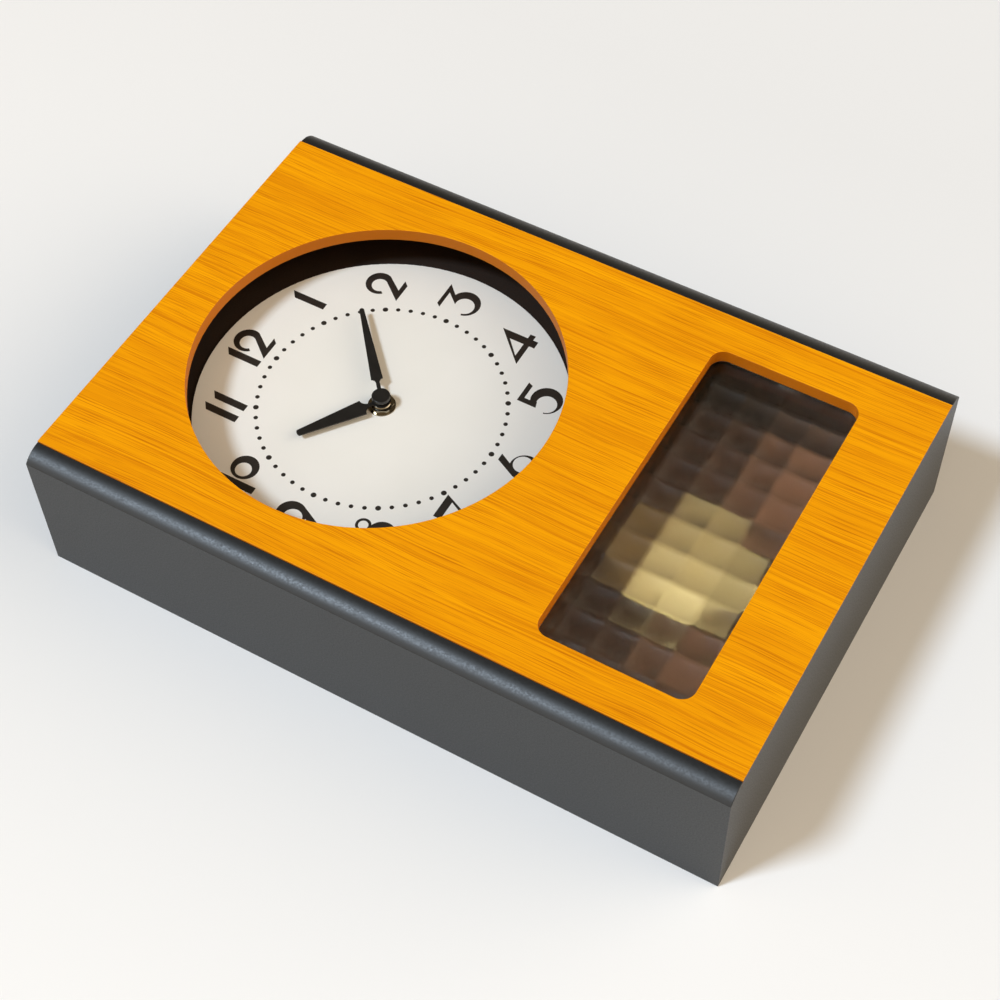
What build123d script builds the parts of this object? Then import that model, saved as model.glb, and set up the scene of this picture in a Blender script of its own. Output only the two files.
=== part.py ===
from build123d import *

import math
import os

# Battery pendulum clock in a flat wooden case, for a shelf or a wall.
#
# Millimetres, +Z up, the dial faces -Y, and the origin is the middle of the case's underside.
# The case is glued up from four boards with a veneered front panel dropped in between the sides.
# Behind the panel stand the dial on its board, the quartz movement with its motion work, and the
# pendulum, which swings behind a window of thick patterned glass.

# Case
case_width = 210.0
case_height = 310.0
case_depth = 70.0
board = 9.0  # thickness of the sides, the top and the bottom
nose_setback = 0.7  # the sides start this far behind the panel's face
nose_drop = 4.1  # and their rounded fronts fall away by this much towards the outside
panel_thickness = 6.0
panel_gap = 0.15  # shadow gap between the panel and each side
broken_edge = 0.4  # small radius on the sides' upright outer edges
end_edge = 0.3  # and on the edges of their ends
panel_edge = 0.25  # and on the panel's front edges
back_thickness = 3.0
back_recess = 2.0

# Round opening and dial
opening_radius = 77.8
opening_z = 210.7
dial_z = 209.9
dial_radius = 79.0
dial_depth = 22.3  # from the panel's face to the dial's face
dial_thickness = 1.0
dial_board_thickness = 4.0
dial_board_low = 118.0

# Window
window_width = 155.0
window_low = 30.5
window_high = 95.2
window_corner = 6.0
gasket = 1.0
glass_thickness = 5.0
glass_margin = 5.0  # the glass reaches this far past the window

# Hands, shown at eight minutes past ten
minutes_past_noon = 608.1
hand_thickness = 0.5
hour_hand_height = 3.0  # underside above the dial's face
minute_hand_height = 4.8

# Motion work
centre_distance = 6.0
minute_module = 0.25
hour_module = 0.24
cannon_teeth = 12
minute_wheel_teeth = 36
minute_pinion_teeth = 10
hour_wheel_teeth = 40
tooth_share = 0.42  # of the pitch that a tooth fills; the rest is the gap with its backlash

# Movement case
movement_width = 56.0
movement_wall = 1.5
movement_split = 1.5  # y where the front half meets the back cover
movement_back = 10.3
tab_width = 28.0
tab_low = 148.0
tab_cover = 1.2

# Battery, size AA
battery_radius = 7.1
battery_z = 191.5
battery_y = 2.2

# Pendulum
pivot_z = 174.0
pivot_radius = 1.0
rod_y = 5.6
rod_radius = 1.0
bob_radius = 29.0
bob_z = 69.0
bob_dome = 3.2
bob_sheet = 0.6
magnet_z = 156.0
magnet_radius = 4.0

# Screws
screw_radius = 1.5
screw_head_radius = 2.9
screw_head = 1.6

# Worked out from the sizes above
front = -case_depth / 2
back = case_depth / 2
inner_x = case_width / 2 - board
panel_back = front + panel_thickness
glass_front = panel_back + gasket
glass_back = glass_front + glass_thickness
dial_face = front + dial_depth
dial_board_front = dial_face + dial_thickness
dial_board_back = dial_board_front + dial_board_thickness
back_outer = back - back_recess
back_inner = back_outer - back_thickness
window_z = (window_low + window_high) / 2
window_height = window_high - window_low
movement_front = dial_board_back + 0.8
movement_inner = movement_front + movement_wall
movement_z = 210.0
minute_wheel_x = centre_distance
knob_x = 2 * centre_distance

os.makedirs("parts", exist_ok=True)


def facing(y):
    """Upright plane at depth y whose normal points at the viewer, with local y upwards."""
    return Plane.XZ.offset(-y)


def dial_plane(height, clock_angle=0.0):
    """Plane above the dial's face, turned clockwise so that its local y is a hand's direction."""
    turn = math.radians(clock_angle)
    return Plane(
        origin=(0, dial_face - height, dial_z),
        x_dir=(math.cos(turn), 0, -math.sin(turn)),
        z_dir=(0, -1, 0),
    )


def keep(part, name):
    """Label a finished piece and write it as its own STEP file."""
    part.label = name
    export_step(part, f"parts/{name}.step")


def screw_at_origin(length):
    """Pan-head screw along -Z below its head, with a cross recess, as a separate object."""
    with BuildPart(mode=Mode.PRIVATE) as screw:
        with BuildSketch():
            Circle(screw_head_radius)
        extrude(amount=screw_head)
        fillet(screw.faces().sort_by(Axis.Z)[-1].edges(), radius=0.9)
        with BuildSketch():
            Circle(screw_radius)
        extrude(amount=-length)
        with BuildSketch(Plane.XY.offset(screw_head)):
            Rectangle(3.4, 0.7)
            Rectangle(0.7, 3.4)
        extrude(amount=-0.9, mode=Mode.SUBTRACT)
    return screw.part


def screws_facing(locations):
    """One group of like screws: each location carries the plane under its head and its length."""
    group = []
    for plane, length in locations:
        group.append(screw_at_origin(length).moved(plane.location))
    return Compound(children=group)


def tooth_outline(teeth, module, pointing):
    """Corner points of one involute tooth on the pitch circle, pointing along the given angle."""
    pitch = module * teeth / 2
    base = pitch * math.cos(math.radians(20))
    root = pitch - 1.15 * module
    tip = pitch + 0.85 * module
    half_tooth = tooth_share * math.pi / teeth
    involute_at_pitch = math.tan(math.radians(20)) - math.radians(20)
    flank = []
    steps = 4
    start = max(base, root)
    for step in range(steps + 1):
        radius = start + (tip - start) * step / steps
        pressure = math.acos(min(1.0, base / radius))
        flank.append((radius, half_tooth + involute_at_pitch - math.tan(pressure) + pressure))
    flank.insert(0, (root * 0.94, flank[0][1]))
    upper = [(r * math.cos(pointing + a), r * math.sin(pointing + a)) for r, a in flank]
    lower = [(r * math.cos(pointing - a), r * math.sin(pointing - a)) for r, a in reversed(flank)]
    return upper + lower


def draw_gear(teeth, module, phase):
    """Draw a spur gear into the open sketch, with one tooth pointing at the phase angle."""
    Circle(module * teeth / 2 - 1.15 * module)
    for tooth in range(teeth):
        pointing = math.radians(phase + 360 * tooth / teeth)
        Polygon(*tooth_outline(teeth, module, pointing), align=None)


# --- Case boards -------------------------------------------------------------------------------

dowel_radius = 3.0
dowel_in_side = 5.0
dowel_in_end = 12.0
dowel_rows = (-14.0, 14.0)
dowel_places = [(y, z) for y in dowel_rows for z in (board / 2, case_height - board / 2)]


def side_board(outward):
    """One side, full height, with its front rounded by one large arc; outward is 1 or -1."""
    outer = case_width / 2
    nose_front = front + nose_setback
    nose_turn = 2 * math.atan(nose_drop / board)
    nose_radius = board / math.sin(nose_turn)
    halfway = nose_turn / 2
    with BuildPart() as side:
        with BuildSketch():
            with BuildLine():
                ThreePointArc(
                    (inner_x, nose_front),
                    (
                        inner_x + nose_radius * math.sin(halfway),
                        nose_front + nose_radius * (1 - math.cos(halfway)),
                    ),
                    (outer, nose_front + nose_drop),
                )
                Polyline(
                    (outer, nose_front + nose_drop),
                    (outer, back),
                    (inner_x, back),
                    (inner_x, nose_front),
                )
            make_face()
        extrude(amount=case_height)
        upright = edges().filter_by(Axis.Z).filter_by_position(Axis.X, outer - 0.1, outer + 0.1)
        fillet(upright, broken_edge)
        end_faces = faces().sort_by(Axis.Z)
        end_edges = end_faces[0].edges() + end_faces[-1].edges()
        fillet(end_edges.filter_by_position(Axis.X, inner_x + 1, outer + 1), end_edge)
        with Locations(*[Plane(origin=(inner_x, y, z), z_dir=(-1, 0, 0)) for y, z in dowel_places]):
            Hole(dowel_radius, depth=dowel_in_side)
        if outward < 0:
            mirror(about=Plane.YZ, mode=Mode.REPLACE)
    return side.part


keep(side_board(-1), "side_board_left")
keep(side_board(1), "side_board_right")


def end_board(low):
    """Board between the sides, from the panel's back to the case's back, at height low."""
    middle = low + board / 2
    with BuildPart() as end:
        with BuildSketch(Plane.XY.offset(low)):
            with Locations((0, (panel_back + back) / 2)):
                Rectangle(2 * inner_x, back - panel_back)
        extrude(amount=board)
        for y in dowel_rows:
            for outward in (-1, 1):
                with Locations(Plane(origin=(outward * inner_x, y, middle), z_dir=(outward, 0, 0))):
                    Hole(dowel_radius, depth=dowel_in_end)
    return end.part


keep(end_board(0.0), "bottom_board")
keep(end_board(case_height - board), "top_board")

with BuildPart() as case_dowels:
    for outward in (-1, 1):
        for y, z in dowel_places:
            start = outward * (inner_x - dowel_in_end)
            with BuildSketch(Plane(origin=(start, y, z), z_dir=(outward, 0, 0))):
                Circle(dowel_radius)
            extrude(amount=dowel_in_end + dowel_in_side)
keep(case_dowels.part, "case_dowels")

block = 14.0
block_length = 16.0
block_hole = 12.0
with BuildPart() as corner_blocks:
    with BuildSketch(facing(back_inner)):
        block_x = inner_x - block / 2
        with Locations((0, case_height / 2)):
            with GridLocations(2 * block_x, case_height - 2 * board - block, 2, 2):
                Rectangle(block, block)
    extrude(amount=block_length)
    with Locations(corner_blocks.faces().sort_by(Axis.Y)[-4:]):
        Hole(screw_radius, depth=block_hole)
keep(corner_blocks.part, "corner_blocks")

# --- Front panel with its round opening and its window ------------------------------------------

with BuildPart() as front_panel:
    with BuildSketch(facing(panel_back)):
        with Locations((0, case_height / 2)):
            Rectangle(2 * (inner_x - panel_gap), case_height)
        with Locations((0, opening_z)):
            Circle(opening_radius, mode=Mode.SUBTRACT)
        with Locations((0, window_z)):
            RectangleRounded(window_width, window_height, window_corner, mode=Mode.SUBTRACT)
    extrude(amount=panel_thickness)
    fillet(front_panel.faces().sort_by(Axis.Y)[0].edges(), radius=panel_edge)
keep(front_panel.part, "front_panel")

# --- Window glass and what holds it --------------------------------------------------------------

glass_width = window_width + 2 * glass_margin
glass_height = window_height + 2 * glass_margin

with BuildPart() as window_glass:
    with BuildSketch(facing(glass_back)):
        with Locations((0, window_z)):
            RectangleRounded(glass_width, glass_height, 2.0)
    extrude(amount=glass_thickness)
keep(window_glass.part, "window_glass")

with BuildPart() as glass_gasket:
    with BuildSketch(facing(glass_front)):
        with Locations((0, window_z)):
            RectangleRounded(glass_width, glass_height, 2.0)
            RectangleRounded(
                window_width + 0.6, window_height + 0.6, window_corner, mode=Mode.SUBTRACT
            )
    extrude(amount=gasket)
keep(glass_gasket.part, "glass_gasket")

frame_bar = 6.0
clip_spacing = 50.0  # from the middle to each clip on the long bars
clip_x = (glass_width + frame_bar) / 2
clip_z = (glass_height + frame_bar) / 2
long_bar_clips = [
    (along, window_z + side * clip_z) for side in (-1, 1) for along in (-clip_spacing, clip_spacing)
]
short_bar_clips = [(side * clip_x, window_z) for side in (-1, 1)]
clip_screw_length = 5.0
clip_thickness = 0.8
with BuildPart() as glazing_frame:
    with BuildSketch(facing(glass_back)):
        with Locations((0, window_z)):
            Rectangle(glass_width + 2 * frame_bar, glass_height + 2 * frame_bar)
            Rectangle(glass_width + 0.4, glass_height + 0.4, mode=Mode.SUBTRACT)
    extrude(amount=glass_thickness + gasket)
    for x, z in long_bar_clips + short_bar_clips:
        with Locations(Plane(origin=(x, glass_back, z), z_dir=(0, 1, 0))):
            Hole(screw_radius, depth=clip_screw_length - clip_thickness + 0.3)
keep(glazing_frame.part, "glazing_frame")

clip_reach = 2.0  # from the clip's screw towards the glass, to the clip's middle
clip_width = 10.0
clip_length = 9.0
with BuildPart() as glass_clips:
    with BuildSketch(facing(glass_back + clip_thickness)):
        for x, z in long_bar_clips:
            with Locations((x, z - math.copysign(clip_reach, z - window_z))):
                RectangleRounded(clip_width, clip_length, 1.5)
        for x, z in short_bar_clips:
            with Locations((x - math.copysign(clip_reach, x), z)):
                RectangleRounded(clip_length, clip_width, 1.5)
        with Locations(*long_bar_clips, *short_bar_clips):
            Circle(screw_radius + 0.1, mode=Mode.SUBTRACT)
    extrude(amount=clip_thickness)
keep(glass_clips.part, "glass_clips")

clip_screw_planes = [
    (Plane(origin=(x, glass_back + clip_thickness, z), z_dir=(0, 1, 0)), clip_screw_length)
    for x, z in long_bar_clips + short_bar_clips
]
keep(screws_facing(clip_screw_planes), "clip_screws")

# --- Dial board, its cleats and the dial ---------------------------------------------------------

cleat = 10.0
top_inside = case_height - board
dial_screw_x = inner_x - cleat / 2
dial_screw_length = 12.0
dial_screw_places = [(x, z) for x in (-dial_screw_x, dial_screw_x) for z in (132.0, 288.0)]

with BuildPart() as dial_cleats:
    with BuildSketch(facing(dial_board_back + cleat)):
        with Locations((0, (dial_board_low + top_inside) / 2)):
            with GridLocations(2 * (inner_x - cleat / 2), 0, 2, 1):
                Rectangle(cleat, top_inside - dial_board_low)
    extrude(amount=cleat)
    for x, z in dial_screw_places:
        with Locations(Plane(origin=(x, dial_board_back, z), z_dir=(0, -1, 0))):
            Hole(screw_radius, depth=dial_screw_length - dial_board_thickness)
keep(dial_cleats.part, "dial_cleats")

bushing_hole = 4.1
with BuildPart() as dial_board:
    with BuildSketch(facing(dial_board_back)):
        with Locations((0, (dial_board_low + top_inside) / 2)):
            Rectangle(2 * inner_x - 0.4, top_inside - dial_board_low - 0.2)
        with Locations((0, dial_z)):
            Circle(bushing_hole, mode=Mode.SUBTRACT)
        with Locations(*dial_screw_places):
            Circle(screw_radius + 0.1, mode=Mode.SUBTRACT)
    extrude(amount=dial_board_thickness)
keep(dial_board.part, "dial_board")

dial_screw_planes = [
    (Plane(origin=(x, dial_board_front, z), z_dir=(0, -1, 0)), dial_screw_length)
    for x, z in dial_screw_places
]
keep(screws_facing(dial_screw_planes), "dial_board_screws")

with BuildPart() as dial_disc:
    with BuildSketch(dial_plane(0)):
        Circle(dial_radius)
        Circle(bushing_hole, mode=Mode.SUBTRACT)
    extrude(amount=-dial_thickness)
    rim = dial_disc.faces().sort_by(Axis.Y)[0].edges().sort_by(SortBy.LENGTH)[-1]
    fillet(rim, radius=0.25)
keep(dial_disc.part, "dial_disc")

# --- Movement: plastic case, bushing, washers and nut --------------------------------------------

post_radius = 0.6


def movement_outline(inset):
    """Square body with the narrow tab that hangs below it, drawn smaller all round by inset."""
    with Locations((0, movement_z)):
        RectangleRounded(movement_width - 2 * inset, movement_width - 2 * inset, 4.0 - inset)
    with Locations((0, (tab_low + movement_z) / 2)):
        RectangleRounded(tab_width - 2 * inset, movement_z - tab_low - 2 * inset, 4.0 - inset)


with BuildPart() as movement_front_case:
    with BuildSketch(facing(movement_front)):
        movement_outline(0)
    extrude(amount=-(movement_split - movement_front))
    with BuildSketch(facing(movement_inner)):
        movement_outline(movement_wall)
    extrude(amount=-(movement_split - movement_inner), mode=Mode.SUBTRACT)
    with BuildSketch(facing(movement_inner)):
        with Locations((0, dial_z)):
            Circle(4.0)
    extrude(amount=movement_wall, mode=Mode.SUBTRACT)
    with BuildSketch(facing(movement_inner)):
        with Locations((minute_wheel_x, dial_z)):
            Circle(post_radius)
    extrude(amount=-2.5)
keep(movement_front_case.part, "movement_front_case")

bushing_radius = 4.0
bushing_bore = 2.55
bushing_top = 2.6  # above the dial's face
with BuildPart() as movement_bushing:
    with BuildSketch(dial_plane(bushing_top)):
        Circle(bushing_radius)
        Circle(bushing_bore, mode=Mode.SUBTRACT)
    extrude(amount=-(movement_inner - dial_face + bushing_top))
    tip = movement_bushing.faces().sort_by(Axis.Y)[0].edges().sort_by(SortBy.LENGTH)[-1]
    chamfer(tip, length=0.35)
keep(movement_bushing.part, "movement_bushing")

rubber_washer_radius = 9.0
with BuildPart() as rubber_washer:
    with BuildSketch(facing(movement_front)):
        with Locations((0, dial_z)):
            Circle(rubber_washer_radius)
            Circle(bushing_hole, mode=Mode.SUBTRACT)
    extrude(amount=movement_front - dial_board_back)
keep(rubber_washer.part, "rubber_washer")

washer_radius = 5.9
washer_thickness = 0.5
with BuildPart() as brass_washer:
    with BuildSketch(dial_plane(0)):
        Circle(washer_radius)
        Circle(bushing_radius + 0.05, mode=Mode.SUBTRACT)
    extrude(amount=washer_thickness)
keep(brass_washer.part, "brass_washer")

nut_height = 1.8
nut_across_flats = 9.9
nut_across_corners = 10.7  # after its corners are turned off
with BuildPart() as fixing_nut:
    with BuildSketch(dial_plane(washer_thickness)):
        RegularPolygon(radius=nut_across_flats / 2, side_count=6, major_radius=False)
        Circle(bushing_radius, mode=Mode.SUBTRACT)
    extrude(amount=nut_height)
    with BuildSketch(dial_plane(washer_thickness)):
        Circle(nut_across_corners / 2)
    extrude(amount=nut_height, mode=Mode.INTERSECT)
keep(fixing_nut.part, "fixing_nut")

plate_front = -2.3
plate_back = -1.3
plate_z = 218.0
plate_width = 52.6
plate_height = 36.6
pivot_bore = 0.86  # for the minute arbor's end
knob_bore = 1.06
with BuildPart() as movement_plate:
    with BuildSketch(facing(plate_back)):
        with Locations((0, plate_z)):
            RectangleRounded(plate_width, plate_height, 2.7)
        with Locations((0, dial_z)):
            Circle(pivot_bore, mode=Mode.SUBTRACT)
        with Locations((knob_x, dial_z)):
            Circle(knob_bore, mode=Mode.SUBTRACT)
    extrude(amount=plate_back - plate_front)
keep(movement_plate.part, "movement_plate")

cover_wall = 1.2
bay_width = 51.6
bay_height = 14.6
with BuildPart() as movement_back_cover:
    with BuildSketch(facing(movement_split)):
        movement_outline(0)
    extrude(amount=-tab_cover)
    with BuildSketch(facing(movement_split)):
        with Locations((0, movement_z)):
            RectangleRounded(movement_width, movement_width, 4.0)
    extrude(amount=-(movement_back - movement_split))
    with BuildSketch(facing(movement_split)):
        with Locations((0, movement_z)):
            hollow = movement_width - 2 * movement_wall
            RectangleRounded(hollow, hollow, 2.5)
    extrude(amount=-(movement_back - movement_split - cover_wall), mode=Mode.SUBTRACT)
    with BuildSketch(facing(movement_back)):
        with Locations((0, battery_z)):
            RectangleRounded(bay_width, bay_height, 2.0)
        with Locations((knob_x, dial_z)):
            Circle(knob_bore)
    extrude(amount=cover_wall + 0.1, mode=Mode.SUBTRACT)
    with BuildSketch(facing(movement_split + tab_cover)):
        with Locations((0, pivot_z)):
            Circle(pivot_radius)
    extrude(amount=tab_cover, mode=Mode.SUBTRACT)
keep(movement_back_cover.part, "movement_back_cover")

# --- Inside the movement -------------------------------------------------------------------------

capsule_back = 5.2
capsule_place = (-5.0, 213.5)
capsule_width = 26.0
capsule_height = 24.0
with BuildPart() as gear_capsule:
    with BuildSketch(facing(capsule_back)):
        with Locations(capsule_place):
            RectangleRounded(capsule_width, capsule_height, 3.0)
        with Locations((knob_x, dial_z)):
            Circle(3.0, mode=Mode.SUBTRACT)
    extrude(amount=capsule_back - plate_back)
    with BuildSketch(facing(plate_back)):
        with Locations((0, dial_z)):
            Circle(pivot_bore)
    extrude(amount=-1.2, mode=Mode.SUBTRACT)
keep(gear_capsule.part, "gear_capsule")

coil_start = -20.0
coil_y = 1.7
coil_z = 230.6
coil_length = 30.0
coil_radius = 2.9
coil_flange = 1.5
with BuildPart() as motor_coil:
    with BuildSketch(Plane(origin=(coil_start, coil_y, coil_z), z_dir=(1, 0, 0))):
        Circle(coil_radius)
    extrude(amount=coil_length)
    with BuildSketch(Plane(origin=(coil_start + coil_flange, coil_y, coil_z), z_dir=(1, 0, 0))):
        Circle(coil_radius)
        Circle(coil_radius - 0.4, mode=Mode.SUBTRACT)
    extrude(amount=coil_length - 2 * coil_flange, mode=Mode.SUBTRACT)
keep(motor_coil.part, "motor_coil")

circuit_x = 19.5
circuit_z = 214.0
circuit_width = 11.0
circuit_height = 24.0
circuit_board_thickness = 1.0
chip_radius = 3.0
chip_drop = 6.0  # the chip's blob of resin sits this far below the board's middle
with BuildPart() as circuit_board:
    with BuildSketch(facing(plate_back + circuit_board_thickness)):
        with Locations((circuit_x, circuit_z)):
            Rectangle(circuit_width, circuit_height)
    extrude(amount=circuit_board_thickness)
    with BuildSketch(facing(plate_back + circuit_board_thickness)):
        with Locations((circuit_x, circuit_z - chip_drop)):
            Circle(chip_radius)
    extrude(amount=-0.9)
keep(circuit_board.part, "circuit_board")

crystal_radius = 1.0
crystal_length = 6.0
crystal_y = plate_back + circuit_board_thickness + crystal_radius
with BuildPart() as quartz_crystal:
    with BuildSketch(Plane(origin=(circuit_x, crystal_y, circuit_z), z_dir=(0, 0, 1))):
        Circle(crystal_radius)
    extrude(amount=crystal_length)
    fillet(quartz_crystal.faces().sort_by(Axis.Z)[-1].edges(), radius=0.3)
keep(quartz_crystal.part, "quartz_crystal")

battery_length = 48.2
battery_start = -23.4
battery_cap_radius = 2.7
battery_cap = 1.2
with BuildPart() as battery:
    with BuildSketch(Plane(origin=(battery_start, battery_y, battery_z), z_dir=(1, 0, 0))):
        Circle(battery_radius)
    extrude(amount=battery_length)
    fillet(battery.edges().filter_by(GeomType.CIRCLE), radius=0.6)
    end_x = battery_start + battery_length
    with BuildSketch(Plane(origin=(end_x, battery_y, battery_z), z_dir=(1, 0, 0))):
        Circle(battery_cap_radius)
    extrude(amount=battery_cap)
keep(battery.part, "battery")

contact_sheet = 0.4
wall_x = movement_width / 2 - movement_wall
with BuildPart() as battery_positive_contact:
    with BuildSketch(Plane(origin=(wall_x, battery_y, battery_z), z_dir=(-1, 0, 0))):
        Rectangle(8.0, 9.0)
    extrude(amount=wall_x - end_x - battery_cap)
keep(battery_positive_contact.part, "battery_positive_contact")

with BuildPart() as battery_negative_contact:
    with BuildSketch(Plane.XY.offset(battery_z - 4.0)):
        with BuildLine():
            Polyline(
                (-wall_x, battery_y - 4.5),
                (-wall_x, battery_y + 4.5),
                (-wall_x + contact_sheet, battery_y + 4.5),
                (-wall_x + contact_sheet, battery_y + 3.0),
                (battery_start, battery_y + 0.6),
                (battery_start, battery_y - 0.6),
                (-wall_x + contact_sheet, battery_y - 3.0),
                (-wall_x + contact_sheet, battery_y - 4.5),
                close=True,
            )
        make_face()
    extrude(amount=8.0)
keep(battery_negative_contact.part, "battery_negative_contact")

# --- Motion work ---------------------------------------------------------------------------------

wheel_front = -5.2  # y where the hour wheel starts
wheel_step = -4.2  # y between the hour wheel's layer and the minute wheel's layer
wheel_back = -3.3
half_minute_pitch = 180 / minute_wheel_teeth
half_hour_pitch = 180 / hour_wheel_teeth
hour_pipe_radius = 2.5
arbor_radius = 1.58
arbor_tip_radius = 1.2

with BuildPart() as hour_wheel:
    with BuildSketch(facing(wheel_step - 0.1)):
        with Locations((0, dial_z)):
            draw_gear(hour_wheel_teeth, hour_module, half_hour_pitch)
    extrude(amount=wheel_step - 0.1 - wheel_front)
    with BuildSketch(facing(wheel_front)):
        with Locations((0, dial_z)):
            Circle(hour_pipe_radius)
    extrude(amount=wheel_front - dial_face + hour_hand_height + hand_thickness)
    with BuildSketch(facing(wheel_step)):
        with Locations((0, dial_z)):
            Circle(arbor_radius + 0.05)
    extrude(amount=2 * dial_depth, mode=Mode.SUBTRACT)
keep(hour_wheel.part, "hour_wheel")

arbor_top = minute_hand_height + hand_thickness + 0.8
with BuildPart() as minute_arbor:
    with BuildSketch(facing(wheel_step)):
        with Locations((0, dial_z)):
            Circle(arbor_radius)
    extrude(amount=wheel_step - dial_face + minute_hand_height)
    with BuildSketch(dial_plane(minute_hand_height)):
        Circle(arbor_tip_radius)
    extrude(amount=arbor_top - minute_hand_height)
    with BuildSketch(facing(plate_front - 0.3)):
        with Locations((0, dial_z)):
            draw_gear(cannon_teeth, minute_module, 0)
    extrude(amount=plate_front - 0.3 - wheel_step)
    with BuildSketch(facing(plate_front - 0.3)):
        with Locations((0, dial_z)):
            Circle(0.8)
    extrude(amount=-2.0)
keep(minute_arbor.part, "minute_arbor")

with BuildPart() as minute_wheel:
    with BuildSketch(facing(wheel_back)):
        with Locations((minute_wheel_x, dial_z)):
            draw_gear(minute_wheel_teeth, minute_module, half_minute_pitch)
    extrude(amount=wheel_back - wheel_step)
    with BuildSketch(facing(wheel_step)):
        with Locations((minute_wheel_x, dial_z)):
            draw_gear(minute_pinion_teeth, hour_module, 180)
    extrude(amount=wheel_step - wheel_front)
    with BuildSketch(facing(wheel_back)):
        with Locations((minute_wheel_x, dial_z)):
            Circle(post_radius + 0.05)
    extrude(amount=3.0, mode=Mode.SUBTRACT)
keep(minute_wheel.part, "minute_wheel")

knob_radius = 5.0
knob_front = movement_back + 0.5
with BuildPart() as set_knob:
    with BuildSketch(facing(wheel_back)):
        with Locations((knob_x, dial_z)):
            draw_gear(cannon_teeth, minute_module, 180)
    extrude(amount=wheel_back - wheel_step)
    with BuildSketch(facing(wheel_back)):
        with Locations((knob_x, dial_z)):
            Circle(1.0)
    extrude(amount=-(knob_front - wheel_back))
    with BuildSketch(facing(knob_front)):
        with Locations((knob_x, dial_z)):
            Circle(knob_radius)
            with PolarLocations(knob_radius + 0.25, 24):
                Circle(0.45, mode=Mode.SUBTRACT)
    extrude(amount=-3.2)
    chamfer(set_knob.faces().sort_by(Axis.Y)[-1].edges(), length=0.3)
keep(set_knob.part, "set_knob")

# --- Hands and their cap -------------------------------------------------------------------------


def clock_hand(height, angle, eye, bore, shoulder, shoulder_half, tip, tip_half):
    """Flat hand: round eye, thin neck, wide hollowed shoulders and a long taper to a blunt tip."""
    neck_half = 0.85
    neck_end = shoulder - 2.6
    with BuildPart() as hand:
        with BuildSketch(dial_plane(height, angle)):
            with BuildLine():
                right = ThreePointArc(
                    (neck_half, neck_end),
                    (shoulder_half * 0.42, shoulder - 1.05),
                    (shoulder_half, shoulder),
                )
                left = ThreePointArc(
                    (-neck_half, neck_end),
                    (-shoulder_half * 0.42, shoulder - 1.05),
                    (-shoulder_half, shoulder),
                )
                Line(right @ 1, (tip_half, tip - 0.6))
                Line(left @ 1, (-tip_half, tip - 0.6))
                ThreePointArc((tip_half, tip - 0.6), (0, tip), (-tip_half, tip - 0.6))
                Polyline(right @ 0, (neck_half, 0), (-neck_half, 0), left @ 0)
            make_face()
            Circle(eye)
            Circle(bore, mode=Mode.SUBTRACT)
        extrude(amount=hand_thickness)
    return hand.part


minute_angle = 6 * (minutes_past_noon % 60)
hour_angle = minutes_past_noon / 2
hour_hand = clock_hand(
    height=hour_hand_height,
    angle=hour_angle,
    eye=3.9,
    bore=hour_pipe_radius,
    shoulder=8.3,
    shoulder_half=3.8,
    tip=38.0,
    tip_half=1.5,
)
keep(hour_hand, "hour_hand")
minute_hand = clock_hand(
    height=minute_hand_height,
    angle=minute_angle,
    eye=3.4,
    bore=arbor_tip_radius,
    shoulder=10.2,
    shoulder_half=2.5,
    tip=49.8,
    tip_half=1.0,
)
keep(minute_hand, "minute_hand")

cap_base = minute_hand_height + hand_thickness
cap_radius = 3.9
cap_height = 1.4
with BuildPart() as hand_cap:
    with BuildSketch(dial_plane(cap_base)):
        Circle(cap_radius)
    extrude(amount=cap_height)
    fillet(hand_cap.faces().sort_by(Axis.Y)[0].edges(), radius=0.3)
    with BuildSketch(dial_plane(cap_base)):
        Circle(arbor_tip_radius)
    extrude(amount=arbor_top - cap_base, mode=Mode.SUBTRACT)
keep(hand_cap.part, "hand_cap")

# --- Pendulum ------------------------------------------------------------------------------------

cover_face = movement_split + tab_cover
yoke_front = cover_face + 0.9
yoke_back = yoke_front + 4.0

drive_coil_back = 0.6
drive_coil_depth = 5.0
with BuildPart() as pendulum_coil:
    with BuildSketch(facing(drive_coil_back)):
        with Locations((0, magnet_z)):
            Circle(5.9)
            Circle(2.2, mode=Mode.SUBTRACT)
    extrude(amount=drive_coil_depth)
keep(pendulum_coil.part, "pendulum_coil")

with BuildPart() as pendulum_pivot:
    with BuildSketch(facing(movement_split)):
        with Locations((0, pivot_z)):
            Circle(pivot_radius)
    extrude(amount=-(yoke_back + 0.3 - movement_split))
    with BuildSketch(facing(yoke_back + 0.3)):
        with Locations((0, pivot_z)):
            Circle(1.9)
    extrude(amount=-0.6)
keep(pendulum_pivot.part, "pendulum_pivot")

rod_top = 150.0
yoke_low = 142.0
yoke_width = 6.4
with BuildPart() as pendulum_yoke:
    with BuildSketch(facing(yoke_front)):
        with Locations((0, pivot_z)):
            Circle(4.2)
        with Locations((0, (pivot_z + yoke_low) / 2)):
            Rectangle(yoke_width, pivot_z - yoke_low)
        with Locations((0, magnet_z)):
            Circle(5.8)
        with Locations((0, pivot_z)):
            Circle(pivot_radius + 0.05, mode=Mode.SUBTRACT)
        with Locations((0, magnet_z)):
            Circle(magnet_radius, mode=Mode.SUBTRACT)
    extrude(amount=-(yoke_back - yoke_front))
    with BuildSketch(Plane.XY.offset(yoke_low)):
        with Locations((0, rod_y)):
            Circle(rod_radius)
    extrude(amount=rod_top - yoke_low, mode=Mode.SUBTRACT)
keep(pendulum_yoke.part, "pendulum_yoke")

with BuildPart() as pendulum_magnet:
    with BuildSketch(facing(yoke_front - 0.4)):
        with Locations((0, magnet_z)):
            Circle(magnet_radius)
    extrude(amount=-3.0)
keep(pendulum_magnet.part, "pendulum_magnet")

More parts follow.
